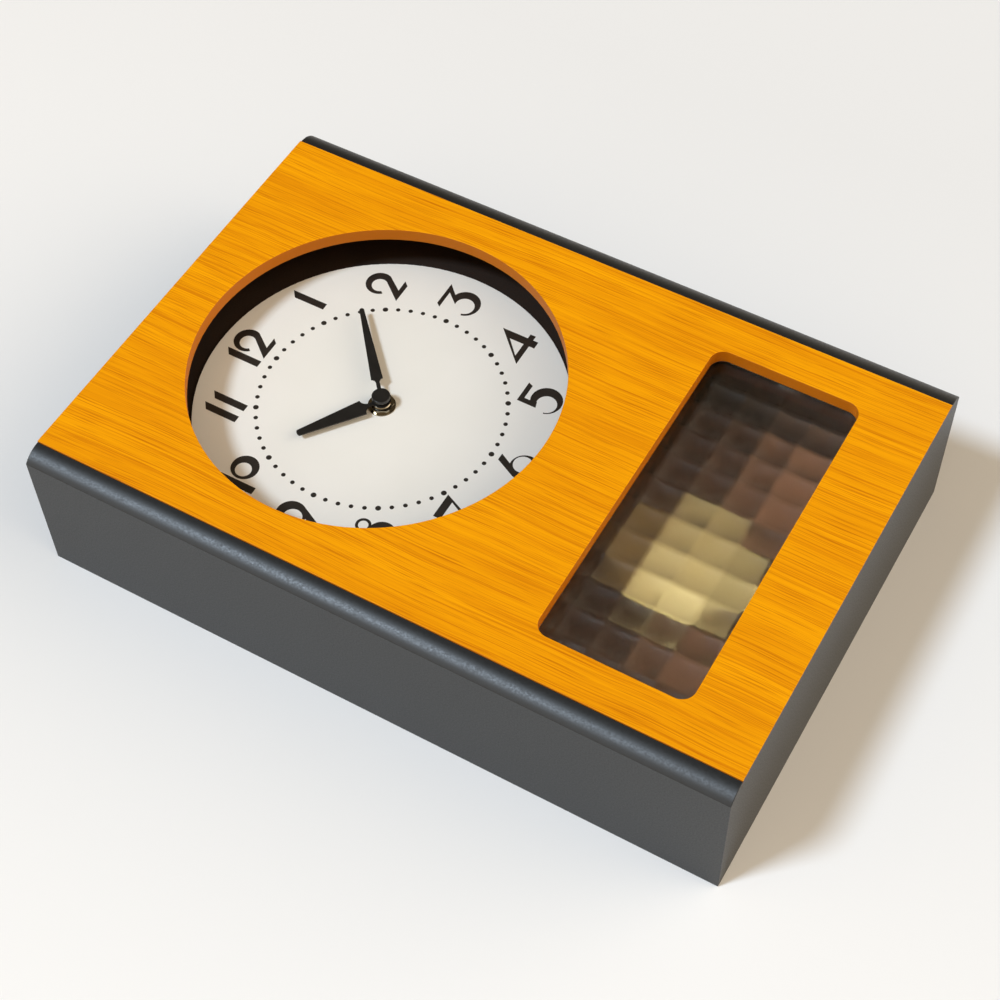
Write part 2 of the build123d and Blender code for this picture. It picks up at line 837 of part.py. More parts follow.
rating_nut_height = 4.0
rating_nut_radius = 3.8
nut_low = bob_z - bob_radius - rating_nut_height - 0.2
rod_low = nut_low - 5.0
with BuildPart() as pendulum_rod:
    with BuildSketch(Plane.XY.offset(rod_low)):
        with Locations((0, rod_y)):
            Circle(rod_radius)
    extrude(amount=rod_top - rod_low)
keep(pendulum_rod.part, "pendulum_rod")

rim_front = rod_y - 1.6
rim_back = rod_y + 1.8
dome_sphere = (bob_radius**2 + bob_dome**2) / (2 * bob_dome)
halfway_out = bob_radius / 2
halfway_dome = dome_sphere - math.sqrt(dome_sphere**2 - halfway_out**2)
dome_front = rim_front - bob_dome
with BuildPart() as bob_front:
    with BuildSketch(Plane.YZ):
        with BuildLine():
            outer_dome = ThreePointArc(
                (dome_front, bob_z),
                (dome_front + halfway_dome, bob_z + halfway_out),
                (rim_front, bob_z + bob_radius),
            )
            inner_dome = ThreePointArc(
                (dome_front + bob_sheet, bob_z),
                (dome_front + bob_sheet + halfway_dome, bob_z + halfway_out),
                (rim_front + bob_sheet, bob_z + bob_radius - bob_sheet),
            )
            Polyline(
                outer_dome @ 1,
                (rim_back, bob_z + bob_radius),
                (rim_back, bob_z + bob_radius - bob_sheet),
                inner_dome @ 1,
            )
            Line(outer_dome @ 0, inner_dome @ 0)
        make_face()
    revolve(axis=Axis((0, 0, bob_z), (0, 1, 0)))
    with BuildSketch(Plane.XY.offset(bob_z - bob_radius - 1.0)):
        with Locations((0, rod_y)):
            Circle(rod_radius + 0.05)
    extrude(amount=2 * bob_radius + 2.0, mode=Mode.SUBTRACT)
keep(bob_front.part, "bob_front")

with BuildPart() as bob_back:
    with BuildSketch(facing(rim_back)):
        with Locations((0, bob_z)):
            Circle(bob_radius - bob_sheet)
    extrude(amount=bob_sheet)
keep(bob_back.part, "bob_back")

with BuildPart() as rating_nut:
    with BuildSketch(Plane.XY.offset(nut_low)):
        with Locations((0, rod_y)):
            Circle(rating_nut_radius)
            with PolarLocations(rating_nut_radius + 0.2, 20):
                Circle(0.45, mode=Mode.SUBTRACT)
            Circle(rod_radius, mode=Mode.SUBTRACT)
    extrude(amount=rating_nut_height)
keep(rating_nut.part, "rating_nut")

# --- Back of the case ----------------------------------------------------------------------------

access_width = 100.0
access_low = 140.0
access_high = 252.0
hanger_z = 281.0
hanger_width = 44.0
hanger_height = 18.0
hanger_sheet = 1.2
keyhole_radius = 4.0
keyhole_slot = 2.0
keyhole_rise = 7.0
keyhole_z = hanger_z - 2.5
back_screw_length = 14.0
hanger_screw_length = 2.8
back_screw_places = [
    (side * (inner_x - block / 2), z)
    for side in (-1, 1)
    for z in (board + block / 2, case_height - board - block / 2)
]
hanger_screw_places = [(-17.0, hanger_z), (17.0, hanger_z)]

with BuildPart() as back_board:
    with BuildSketch(facing(back_outer)):
        with Locations((0, case_height / 2)):
            Rectangle(2 * inner_x - 0.4, case_height - 2 * board - 0.4)
        with Locations((0, (access_low + access_high) / 2)):
            RectangleRounded(access_width, access_high - access_low, 8.0, mode=Mode.SUBTRACT)
        with Locations(*back_screw_places):
            Circle(screw_radius + 0.1, mode=Mode.SUBTRACT)
        with Locations((0, hanger_z)):
            RectangleRounded(20.0, 14.0, 5.0, mode=Mode.SUBTRACT)
        with Locations(*hanger_screw_places):
            Circle(screw_radius, mode=Mode.SUBTRACT)
    extrude(amount=back_thickness)
    with BuildSketch(facing(back_outer)):
        with Locations((0, hanger_z)):
            RectangleRounded(hanger_width, hanger_height, 3.0)
    extrude(amount=hanger_sheet, mode=Mode.SUBTRACT)
keep(back_board.part, "back_board")

with BuildPart() as hanger_plate:
    with BuildSketch(facing(back_outer)):
        with Locations((0, hanger_z)):
            RectangleRounded(hanger_width, hanger_height, 3.0)
        with Locations((0, keyhole_z)):
            Circle(keyhole_radius, mode=Mode.SUBTRACT)
        with Locations((0, keyhole_z + keyhole_rise / 2)):
            Rectangle(2 * keyhole_slot, keyhole_rise, mode=Mode.SUBTRACT)
        with Locations((0, keyhole_z + keyhole_rise)):
            Circle(keyhole_slot, mode=Mode.SUBTRACT)
        with Locations(*hanger_screw_places):
            Circle(screw_radius + 0.1, mode=Mode.SUBTRACT)
    extrude(amount=hanger_sheet)
keep(hanger_plate.part, "hanger_plate")

back_screw_planes = [
    (Plane(origin=(x, back_outer, z), z_dir=(0, 1, 0)), back_screw_length)
    for x, z in back_screw_places
]
keep(screws_facing(back_screw_planes), "back_screws")

hanger_screw_planes = [
    (Plane(origin=(x, back_outer, z), z_dir=(0, 1, 0)), hanger_screw_length)
    for x, z in hanger_screw_places
]
keep(screws_facing(hanger_screw_planes), "hanger_screws")
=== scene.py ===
import math

import bpy
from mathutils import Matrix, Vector


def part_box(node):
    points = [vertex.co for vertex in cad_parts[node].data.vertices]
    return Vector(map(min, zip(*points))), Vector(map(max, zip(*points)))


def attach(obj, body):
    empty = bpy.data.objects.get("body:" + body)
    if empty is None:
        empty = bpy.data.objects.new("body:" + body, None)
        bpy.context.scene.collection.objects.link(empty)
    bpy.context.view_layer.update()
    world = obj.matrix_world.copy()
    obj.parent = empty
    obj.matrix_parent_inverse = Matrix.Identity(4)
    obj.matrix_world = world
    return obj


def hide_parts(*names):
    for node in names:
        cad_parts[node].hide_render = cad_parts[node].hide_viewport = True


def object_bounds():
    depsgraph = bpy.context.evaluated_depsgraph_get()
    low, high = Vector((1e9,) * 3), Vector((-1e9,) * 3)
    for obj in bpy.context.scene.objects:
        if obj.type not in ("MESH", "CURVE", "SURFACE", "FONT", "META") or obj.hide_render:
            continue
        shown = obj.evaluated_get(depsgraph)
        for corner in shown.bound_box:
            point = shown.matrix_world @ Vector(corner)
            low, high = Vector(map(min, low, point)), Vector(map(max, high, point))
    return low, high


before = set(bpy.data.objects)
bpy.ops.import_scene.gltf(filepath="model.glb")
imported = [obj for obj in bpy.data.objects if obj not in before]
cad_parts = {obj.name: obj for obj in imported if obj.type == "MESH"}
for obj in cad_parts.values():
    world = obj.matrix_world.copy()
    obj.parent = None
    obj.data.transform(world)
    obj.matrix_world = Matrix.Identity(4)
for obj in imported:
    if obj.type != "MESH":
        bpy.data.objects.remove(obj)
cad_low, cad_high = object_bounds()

# --- The view ------------------------------------------------------------------------------------
# The clock lies on its back, and the camera stands over its lower left corner. The clock's own up
# axis stays +Z, so the camera is rolled to look at it lying down.

camera_place = (-0.419681, -0.666939, -0.099353)
camera_turn = (127.4029, 60.2773, 2.0522)
bpy.ops.object.camera_add(
    location=camera_place, rotation=[math.radians(angle) for angle in camera_turn]
)
camera = bpy.context.object
camera.name = "camera"
camera.data.lens = 72.358
bpy.context.scene.camera = camera
bpy.context.scene.view_settings.view_transform = "Standard"

# --- The surface it lies on ----------------------------------------------------------------------
# A broad pale sheet of paper under the clock's back. Its tone is painted darker towards the right:
# painted shade where the light falls off. It is cut out under the clock, and from behind the eye
# goes through it, so that the back can be looked at.

MM = 0.001
sheet_size = 6.0
sheet_gap = 0.2 * MM
sheet_margin = 0.3 * MM
painted_falloff_left = 0.895
painted_falloff_right = 0.765
painted_falloff_reach = 0.28


def add(tree, kind, inputs=None, **settings):
    """A shader node with its settings, and with values or other nodes' sockets as its inputs."""
    node = tree.nodes.new("ShaderNode" + kind)
    for name, value in settings.items():
        setattr(node, name, value)
    for name, value in (inputs or {}).items():
        if isinstance(value, bpy.types.NodeSocket):
            tree.links.new(value, node.inputs[name])
        else:
            node.inputs[name].default_value = value
    return node


def spread(tree, value, low, high, start=0.0, end=1.0):
    """A value that runs from start to end, spread over low to high, as a socket."""
    inputs = {"Value": value, "From Min": start, "From Max": end, "To Min": low, "To Max": high}
    return add(tree, "MapRange", inputs).outputs["Result"]


def start_material(name):
    """A new material, with its node tree, its Principled shader and the object's coordinates."""
    material = bpy.data.materials.new(name)
    material.use_nodes = True
    tree = material.node_tree
    shader = tree.nodes["Principled BSDF"]
    place = add(tree, "TexCoord").outputs["Object"]
    return material, tree, shader, place


def select_nothing():
    """Operators act on what is selected, so every piece starts from nothing selected."""
    if bpy.context.mode != "OBJECT":
        bpy.ops.object.mode_set(mode="OBJECT")
    bpy.ops.object.select_all(action="DESELECT")


def settle(piece, name):
    """Names a finished piece and moves its place into its mesh."""
    select_nothing()
    piece.select_set(True)
    bpy.context.view_layer.objects.active = piece
    bpy.ops.object.transform_apply(location=True, rotation=True, scale=True)
    piece.name = name
    return piece


def cut_across(point, normal, clear_outer=False):
    """One straight cut through the whole mesh that is open in edit mode."""
    bpy.ops.mesh.select_all(action="SELECT")
    bpy.ops.mesh.bisect(plane_co=point, plane_no=normal, clear_outer=clear_outer)


middle = (cad_low + cad_high) / 2
select_nothing()
bpy.ops.mesh.primitive_plane_add(
    size=sheet_size,
    location=(middle.x, cad_high.y + sheet_gap, middle.z),
    rotation=(math.radians(90), 0, 0),
)
ground = settle(bpy.context.object, "ground")
inwards = Vector((sheet_margin, 0, sheet_margin))
bpy.ops.object.mode_set(mode="EDIT")
for corner in (cad_low + inwards, cad_high - inwards):
    cut_across(corner, (1, 0, 0))
    cut_across(corner, (0, 0, 1))
bpy.ops.mesh.select_all(action="DESELECT")
bpy.ops.object.mode_set(mode="OBJECT")
for face in ground.data.polygons:
    face.select = (face.center - middle).length < cad_high.z
bpy.ops.object.mode_set(mode="EDIT")
bpy.ops.mesh.delete(type="FACE")
bpy.ops.object.mode_set(mode="OBJECT")

paper, tree, shader, place = start_material("pale_paper")
across = add(tree, "SeparateXYZ", {"Vector": place}).outputs["X"]
# The paper's tone runs darker towards the right: painted shade for the light falling off, not a
# greyer paper.
tone = spread(tree, across, painted_falloff_left, painted_falloff_right, -painted_falloff_reach, painted_falloff_reach)
tree.links.new(tone, shader.inputs["Base Color"])
shader.inputs["Roughness"].default_value = 0.7
shader.inputs["Specular IOR Level"].default_value = 0.0
behind = add(tree, "NewGeometry").outputs["Backfacing"]
clear = add(tree, "BsdfTransparent").outputs[0]
either = add(tree, "MixShader", {0: behind, 1: shader.outputs[0], 2: clear})
tree.links.new(either.outputs[0], tree.nodes["Material Output"].inputs["Surface"])
ground.data.materials.append(paper)

# --- The studio ----------------------------------------------------------------------------------
# One large cool lamp high on the left and in front, warm light from all round that is strongest
# low on the right and fades towards the dark part of the room, and a soft lamp behind the clock.

lamp_direction = Vector((-0.451, -0.820, 0.352))
select_nothing()
bpy.ops.object.light_add(type="SUN", location=lamp_direction)
lamp = bpy.context.object
lamp.name = "key_lamp"
lamp.rotation_euler = lamp_direction.to_track_quat("Z", "Y").to_euler()
lamp.data.energy = 2.38
lamp.data.angle = math.radians(11.5)
lamp.data.color = (0.70, 0.84, 1.0)

back_lamp_place = Vector((0.25, 1.3, 0.55))
back_lamp_aim = Vector((0, 0, 0.15))
select_nothing()
bpy.ops.object.light_add(type="AREA", location=back_lamp_place)
back_lamp = bpy.context.object
back_lamp.name = "back_lamp"
back_lamp.rotation_euler = (back_lamp_place - back_lamp_aim).to_track_quat("Z", "Y").to_euler()
back_lamp.data.energy = 7.0
back_lamp.data.size = 1.3
back_lamp.data.color = (1.0, 0.95, 0.88)
back_lamp.visible_camera = False


def towards(tree, direction, side, start, end):
    """How far a direction leans to one side of the room, from 0 to 1, as a socket."""
    lean = add(tree, "VectorMath", {0: direction, 1: side}, operation="DOT_PRODUCT")
    inputs = {"Value": lean.outputs["Value"], "From Min": start, "From Max": end}
    return add(tree, "MapRange", inputs, interpolation_type="SMOOTHSTEP").outputs["Result"]


def blend_tones(tree, share, first, second):
    """The colour a share of the way from one tone to the other, as a socket."""
    mix = add(tree, "Mix", {"Factor": share}, data_type="RGBA")
    for socket, tone in zip((mix.inputs[6], mix.inputs[7]), (first, second)):
        if isinstance(tone, bpy.types.NodeSocket):
            tree.links.new(tone, socket)
        else:
            socket.default_value = (*tone, 1)
    return mix.outputs[2]


room_tone = (0.79, 0.65, 0.475)
low_right_tone = (3.30, 2.85, 2.30)
dark_tone = (0.13, 0.10, 0.06)
backdrop_tone = (0.88, 0.88, 0.87, 1)
studio = bpy.data.worlds.new("studio")
bpy.context.scene.world = studio
studio.use_nodes = True
tree = studio.node_tree
direction = add(tree, "TexCoord").outputs["Generated"]
low_right = towards(tree, direction, (0.70, -0.30, -0.65), 0.35, 1.0)
dark_side = towards(tree, direction, (0.4987, -0.8128, 0.3012), 0.35, 0.85)
lit_room = blend_tones(tree, low_right, room_tone, low_right_tone)
room_light = tree.nodes["Background"]
tree.links.new(blend_tones(tree, dark_side, lit_room, dark_tone), room_light.inputs["Color"])
backdrop = add(tree, "Background", {"Color": backdrop_tone}).outputs[0]
seen = add(tree, "LightPath").outputs["Is Camera Ray"]
either = add(tree, "MixShader", {0: seen, 1: room_light.outputs[0], 2: backdrop})
tree.links.new(either.outputs[0], tree.nodes["World Output"].inputs["Surface"])

# --- Case boards ---------------------------------------------------------------------------------
# Two sides, a top and a bottom of fibreboard, glued on dowels, sanded and sprayed with a satin
# blue-black lacquer. The spray leaves a faint orange-peel relief and a gloss that drifts a little.


def start_group(name, inputs, outputs):
    """A node group with its named inputs and outputs, and its two end nodes."""
    group = bpy.data.node_groups.new(name, "ShaderNodeTree")
    for label, kind, value in inputs:
        socket = group.interface.new_socket(label, in_out="INPUT", socket_type="NodeSocket" + kind)
        if value is not None:
            socket.default_value = value
    for label, kind in outputs:
        group.interface.new_socket(label, in_out="OUTPUT", socket_type="NodeSocket" + kind)
    return group, group.nodes.new("NodeGroupInput"), group.nodes.new("NodeGroupOutput")


# Slow drift and fine grit, which every made surface has. Both scales are in patches per metre.
mottle, ends, result = start_group(
    "mottle",
    [("Vector", "Vector", None), ("Scale", "Float", 60.0), ("Grit Scale", "Float", 1500.0)],
    [("Drift", "Float"), ("Grit", "Float")],
)
for scale, output in (("Scale", "Drift"), ("Grit Scale", "Grit")):
    patches = {"Vector": ends.outputs["Vector"], "Scale": ends.outputs[scale]}
    mottle.links.new(add(mottle, "TexNoise", patches).outputs["Fac"], result.inputs[output])


def even_out(tree, noise, low=0.0, high=1.0):
    """Noise gathers round its middle, so its middle part is spread over low to high."""
    return spread(tree, noise, low, high, 0.3, 0.7)


def relief_of(tree, shader, height, strength, depth):
    """Gives a shader a relief of a strength and a depth."""
    bump = add(tree, "Bump", {"Height": height, "Strength": strength, "Distance": depth})
    tree.links.new(bump.outputs["Normal"], shader.inputs["Normal"])


def made_surface(name, dark, light, rough, drift, grit, relief, stretch=(1, 1, 1)):
    """A finish that drifts between two tones, with fine grit in its gloss and its relief."""
    material, tree, shader, place = start_material(name)
    vector = add(tree, "Mapping", {"Vector": place, "Scale": stretch}).outputs["Vector"]
    inputs = {"Vector": vector, "Scale": drift, "Grit Scale": grit}
    marks = add(tree, "Group", inputs, node_tree=mottle)
    tone = blend_tones(tree, even_out(tree, marks.outputs["Drift"]), dark, light)
    tree.links.new(tone, shader.inputs["Base Color"])
    gloss = even_out(tree, marks.outputs["Grit"], rough * 0.85, rough * 1.15)
    tree.links.new(gloss, shader.inputs["Roughness"])
    relief_of(tree, shader, marks.outputs["Grit"], relief, 0.2 * MM)
    return material, shader


def dress(material, *nodes):
    """Gives CAD nodes their finish."""
    for node in nodes:
        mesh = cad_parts[node].data
        mesh.materials.clear()
        mesh.materials.append(material)


lacquer, shader = made_surface(
    "case_lacquer",
    (0.0042, 0.0054, 0.0064),
    (0.0056, 0.0072, 0.0084),
    rough=0.45,
    drift=25.0,
    grit=1400.0,
    relief=0.03,
)
shader.inputs["IOR"].default_value = 1.58
dress(lacquer, "side_board_left", "side_board_right", "top_board", "bottom_board")

# --- Raw wood inside -----------------------------------------------------------------------------
# Dowels, corner blocks and dial cleats of planed pine, sawn to length and glued in, left bare.

# Long thin fibres along Z. Spread is the number of fibres in a metre across the grain, and Length
# the share of that number which lies in a metre along it.
fibres, ends, result = start_group(
    "fibres",
    [("Vector", "Vector", None), ("Spread", "Float", 1500.0), ("Length", "Float", 0.03)],
    [("Fibre", "Float")],
)
along = add(fibres, "CombineXYZ", {0: 1.0, 1: 1.0, 2: ends.outputs["Length"]}).outputs["Vector"]
drawn = add(fibres, "VectorMath", {0: ends.outputs["Vector"], 1: along}, operation="MULTIPLY")
inputs = {"Vector": drawn.outputs["Vector"], "Scale": ends.outputs["Spread"]}
fibres.links.new(add(fibres, "TexNoise", inputs).outputs["Fac"], result.inputs["Fibre"])


def strand(tree, vector, per_metre, length):
    """The strength of the fibres at each point, as a socket."""
    inputs = {"Vector": vector, "Spread": per_metre, "Length": length}
    return add(tree, "Group", inputs, node_tree=fibres).outputs["Fibre"]


late_wood = (0.60, 0.38, 0.18)
early_wood = (0.72, 0.52, 0.29)
hair_shadow = (0.36, 0.20, 0.09)
pine, tree, shader, place = start_material("planed_pine")
rings = strand(tree, place, per_metre=260.0, length=0.05)
hairs = strand(tree, place, per_metre=2600.0, length=0.04)
growth = blend_tones(tree, spread(tree, rings, 0.0, 1.0, 0.35, 0.65), late_wood, early_wood)
wood = blend_tones(tree, spread(tree, hairs, 0.0, 0.35, 0.6, 0.8), growth, hair_shadow)
tree.links.new(wood, shader.inputs["Base Color"])
shader.inputs["Roughness"].default_value = 0.65
relief_of(tree, shader, hairs, 0.25, 0.1 * MM)
dress(pine, "case_dowels", "corner_blocks", "dial_cleats")

# --- Dark boards inside --------------------------------------------------------------------------
# The back board and the frame round the glass are thin fibreboard, stained red-brown, and the
# dial board is stained nearly black, so that nothing pale shows through the openings.

stained_board, shader = made_surface(
    "stained_board",
    (0.190, 0.074, 0.031),
    (0.225, 0.090, 0.039),
    rough=0.62,
    drift=160.0,
    grit=2600.0,
    relief=0.30,
)
dress(stained_board, "back_board", "glazing_frame")
dark_board, shader = made_surface(
    "dark_board",
    (0.010, 0.0040, 0.0008),
    (0.016, 0.0065, 0.0015),
    rough=0.62,
    drift=70.0,
    grit=2600.0,
    relief=0.20,
)
dress(dark_board, "dial_board")

# --- Front panel ---------------------------------------------------------------------------------
# A board faced with oak veneer that runs the clock's full height, stained bright amber under a
# thin satin lacquer. The round opening and the window are routed through it and stained alike.

light_amber = (0.90, 0.375, 0.0008)
deep_amber = (0.74, 0.262, 0.0005)
hair_brown = (0.60, 0.175, 0.0004)
pore_brown = (0.52, 0.140, 0.0003)
routed_amber = (0.46, 0.130, 0.0005)
grain_sway = 3.5 * MM
pore_depth = 0.05 * MM
veneer, tree, shader, place = start_material("amber_oak")
wide = add(tree, "Mapping", {"Vector": place, "Scale": (12, 12, 9)}).outputs["Vector"]
sway = add(tree, "TexNoise", {"Vector": wide, "Scale": 1.0, "Detail": 2.0}).outputs["Fac"]
shift = spread(tree, sway, -grain_sway, grain_sway)
push = add(tree, "CombineXYZ", {0: shift}).outputs["Vector"]
swayed = add(tree, "VectorMath", {0: place, 1: push}, operation="ADD").outputs["Vector"]

bands = strand(tree, swayed, per_metre=90.0, length=0.10)
streaks = strand(tree, swayed, per_metre=900.0, length=0.010)
hairs = strand(tree, swayed, per_metre=1900.0, length=0.006)
pores = strand(tree, swayed, per_metre=2600.0, length=0.012)
broad = spread(tree, bands, 0.0, 0.5, 0.3, 0.7)
narrow = spread(tree, streaks, 0.0, 0.5, 0.32, 0.68)
figure = add(tree, "Math", {0: broad, 1: narrow}, operation="ADD").outputs[0]
figured = blend_tones(tree, figure, deep_amber, light_amber)
haired = blend_tones(tree, spread(tree, hairs, 0.0, 0.75, 0.53, 0.66), figured, hair_brown)
open_pores = spread(tree, pores, 0.0, 0.80, 0.56, 0.66)
faced = blend_tones(tree, open_pores, haired, pore_brown)

# The face looks along -Y, and the routed walls look any other way.
normal = add(tree, "NewGeometry").outputs["Normal"]
facing = add(tree, "SeparateXYZ", {"Vector": normal}).outputs["Y"]
routed = spread(tree, facing, 0.0, 1.0, -0.75, -0.25)
tree.links.new(blend_tones(tree, routed, faced, routed_amber), shader.inputs["Base Color"])
shader.inputs["Roughness"].default_value = 0.45
shader.inputs["Specular IOR Level"].default_value = 0.12
sunk = add(tree, "Math", {0: open_pores, 1: -1.0}, operation="MULTIPLY").outputs[0]
relief_of(tree, shader, sunk, 0.30, pore_depth)
dress(veneer, "front_panel")

# The panel's two ends show beside the top and bottom boards, and are sprayed with them.
end_layer = 0.05 * MM
panel_low, panel_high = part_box("front_panel")
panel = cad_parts["front_panel"].data
panel.materials.append(lacquer)
for face in panel.polygons:
    from_end = min(face.center.z - panel_low.z, panel_high.z - face.center.z)
    face.material_index = 1 if from_end < end_layer else 0

# --- Window glass --------------------------------------------------------------------------------
# Cast patterned glass: smooth in front, and moulded behind into a grid of small lenses that are
# rough to the touch, so that the pendulum's bob breaks up into plain blocks of colour.

lens_pitch_x = 13.7 * MM
lens_pitch_z = 14.6 * MM
lens_radius = 26.0 * MM
first_column = -96.6 * MM
first_row = 17.9 * MM
columns = 14
rows = 6
lens_steps = 10
weld = 0.01 * MM
glass_low, glass_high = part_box("window_glass")
select_nothing()
bpy.ops.mesh.primitive_grid_add(
    size=1.0,
    x_subdivisions=lens_steps,
    y_subdivisions=lens_steps,
    rotation=(math.radians(-90), 0, 0),
)
glass = bpy.context.object
glass.scale = (lens_pitch_x, lens_pitch_z, 1)
settle(glass, "mosaic_glass")
for vertex in glass.data.vertices:
    out = math.hypot(vertex.co.x, vertex.co.z)
    vertex.co.y = math.sqrt(lens_radius**2 - out**2) - lens_radius
glass.location = (first_column + lens_pitch_x / 2, glass_high.y, first_row + lens_pitch_z / 2)
settle(glass, "mosaic_glass")
for count, offset in ((columns, (lens_pitch_x, 0, 0)), (rows, (0, 0, lens_pitch_z))):
    row = glass.modifiers.new("row", "ARRAY")
    row.use_relative_offset = False
    row.use_constant_offset = True
    row.constant_offset_displace = offset
    row.count = count
    row.use_merge_vertices = True
    row.merge_threshold = weld
    bpy.ops.object.modifier_apply(modifier=row.name)
bpy.ops.object.mode_set(mode="EDIT")
cut_across(glass_high, (1, 0, 0), clear_outer=True)
cut_across(glass_high, (0, 0, 1), clear_outer=True)
cut_across(glass_low, (-1, 0, 0), clear_outer=True)
cut_across(glass_low, (0, 0, -1), clear_outer=True)

# The moulded face's rim is drawn forward to the plane of the smooth front, and closed there.
bpy.ops.mesh.select_all(action="SELECT")
bpy.ops.mesh.region_to_loop()
forward = (0, glass_low.y - glass_high.y, 0)
bpy.ops.mesh.extrude_edges_move(TRANSFORM_OT_translate={"value": forward})
bpy.ops.object.mode_set(mode="OBJECT")
for vertex in glass.data.vertices:
    if vertex.select:
        vertex.co.y = glass_low.y
bpy.ops.object.mode_set(mode="EDIT")
bpy.ops.mesh.edge_face_add()
bpy.ops.mesh.select_all(action="SELECT")
bpy.ops.mesh.normals_make_consistent(inside=False)
bpy.ops.object.mode_set(mode="OBJECT")
bpy.ops.object.shade_smooth_by_angle(angle=math.radians(30))

smooth_depth = 0.8 * MM
rough_depth = 1.2 * MM
clear_glass, tree, shader, place = start_material("mosaic_glass")
inputs = {"Vector": place, "Scale": 45.0, "Grit Scale": 500.0}
marks = add(tree, "Group", inputs, node_tree=mottle)
depth = add(tree, "SeparateXYZ", {"Vector": place}).outputs["Y"]
moulded = spread(tree, depth, 0.0, 1.0, glass_low.y + smooth_depth, glass_low.y + rough_depth)
grain = even_out(tree, marks.outputs["Grit"], 0.30, 0.34)
haze = add(tree, "Math", {0: moulded, 1: grain}, operation="MULTIPLY").outputs[0]
tree.links.new(haze, shader.inputs["Roughness"])
shader.inputs["Base Color"].default_value = (0.96, 0.91, 0.82, 1)
shader.inputs["IOR"].default_value = 1.5
shader.inputs["Transmission Weight"].default_value = 1.0
relief_of(tree, shader, marks.outputs["Drift"], 0.04, 0.5 * MM)
see_through = add(tree, "BsdfTransparent", {"Color": (0.90, 0.88, 0.84, 1)}).outputs[0]
shadow = add(tree, "LightPath").outputs["Is Shadow Ray"]
either = add(tree, "MixShader", {0: shadow, 1: shader.outputs[0], 2: see_through})
tree.links.new(either.outputs[0], tree.nodes["Material Output"].inputs["Surface"])
glass.data.materials.append(clear_glass)
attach(glass, "case")
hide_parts("window_glass")

# --- Gasket and rubber ---------------------------------------------------------------------------
# A strip of black foam keeps the glass from rattling, and a rubber washer sits between the
# movement and the dial board. Both are matt and slightly open-pored.

foam, shader = made_surface(
    "black_foam",
    (0.012, 0.012, 0.012),
    (0.022, 0.021, 0.020),
    rough=0.9,
    drift=300.0,
    grit=3200.0,
    relief=0.8,
)
dress(foam, "glass_gasket")
rubber, shader = made_surface(
    "rubber",
    (0.018, 0.018, 0.018),
    (0.028, 0.027, 0.026),
    rough=0.7,
    drift=200.0,
    grit=2500.0,
    relief=0.15,
)
dress(rubber, "rubber_washer")

# --- Steel parts ---------------------------------------------------------------------------------
# Screws, glass clips, contacts and the hanger plate are stamped or headed from mild steel and
# zinc plated: pale grey, finely streaked, a little cloudy.

steel, shader = made_surface(
    "zinc_steel",
    (0.42, 0.42, 0.44),
    (0.54, 0.54, 0.53),
    rough=0.36,
    drift=350.0,
    grit=3000.0,
    relief=0.08,
    stretch=(1, 1, 0.3),
)
shader.inputs["Metallic"].default_value = 1.0
dress(
    steel,
    "glass_clips",
    "clip_screws",
    "dial_board_screws",
    "quartz_crystal",
    "battery_positive_contact",
    "pendulum_pivot",
    "hanger_plate",
    "back_screws",
    "hanger_screws",
)

# --- Dial ----------------------------------------------------------------------------------------
# A stamped aluminium disc, sprayed warm white with a soft satin surface, ready to be printed.

dial_paint, shader = made_surface(
    "dial_white",
    (0.815, 0.795, 0.735),
    (0.840, 0.820, 0.765),
    rough=0.50,
    drift=30.0,
    grit=2200.0,
    relief=0.04,
)
dress(dial_paint, "dial_disc")

# --- Dial print ----------------------------------------------------------------------------------
# Numerals of the 1930s kind, with thick and thin strokes, and sixty minute dots, all printed in
# one pass of brown-black ink, which stands a few hundredths of a millimetre proud.

ink_lift = 0.03 * MM
ink, shader = made_surface(
    "dial_ink",
    (0.016, 0.013, 0.010),
    (0.024, 0.019, 0.015),
    rough=0.42,
    drift=250.0,
    grit=2500.0,
    relief=0.10,
)
dial_low, dial_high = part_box("dial_disc")
dial_middle = (dial_low + dial_high) / 2


def on_circle(x, z, radius, turn):
    """The point of a circle at a turn in degrees, anticlockwise from the right."""
    angle = math.radians(turn)
    return (x + radius * math.cos(angle), z + radius * math.sin(angle))


def arc(x, z, radius, start, end, steps=20):
    """Points along an arc, in degrees anticlockwise, or clockwise where the end is the lower."""
    turns = [start + (end - start) * step / steps for step in range(steps + 1)]
    return [on_circle(x, z, radius, turn) for turn in turns]


def ring(x, z, radius, steps=20, last=350):
    """Points round a whole circle, closed by a straight line from the last one to the first."""
    return arc(x, z, radius, 0, last, steps)


def moved(outline, x, z, turned=False):
    """An outline at another place, and upside down if it is turned."""
    side = -1 if turned else 1
    return [(side * across + x, side * up + z) for across, up in outline]


def raised_shape(name, outlines, place, lift, paint):
    """Closed outlines in millimetres as one raised shape; one inside another is a hole in it."""
    curve = bpy.data.curves.new(name, "CURVE")
    curve.dimensions = "2D"
    curve.fill_mode = "BOTH"
    curve.extrude = lift
    for outline in outlines:
        spline = curve.splines.new("POLY")
        spline.points.add(len(outline) - 1)
        for point, (x, z) in zip(spline.points, outline):
            point.co = (x * MM, z * MM, 0, 1)
        spline.use_cyclic_u = True
    shape = bpy.data.objects.new(name, curve)
    bpy.context.scene.collection.objects.link(shape)
    select_nothing()
    shape.select_set(True)
    bpy.context.view_layer.objects.active = shape
    bpy.ops.object.convert(target="MESH")
    piece = bpy.context.object
    piece.rotation_euler = (math.radians(90), 0, 0)
    piece.location = place
    settle(piece, name)
    bpy.ops.object.mode_set(mode="EDIT")
    bpy.ops.mesh.select_all(action="SELECT")
    bpy.ops.mesh.remove_doubles(threshold=0.002 * MM)
    bpy.ops.mesh.normals_make_consistent(inside=False)
    bpy.ops.object.mode_set(mode="OBJECT")
    piece.data.materials.clear()
    piece.data.materials.append(paint)
    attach(piece, "case")


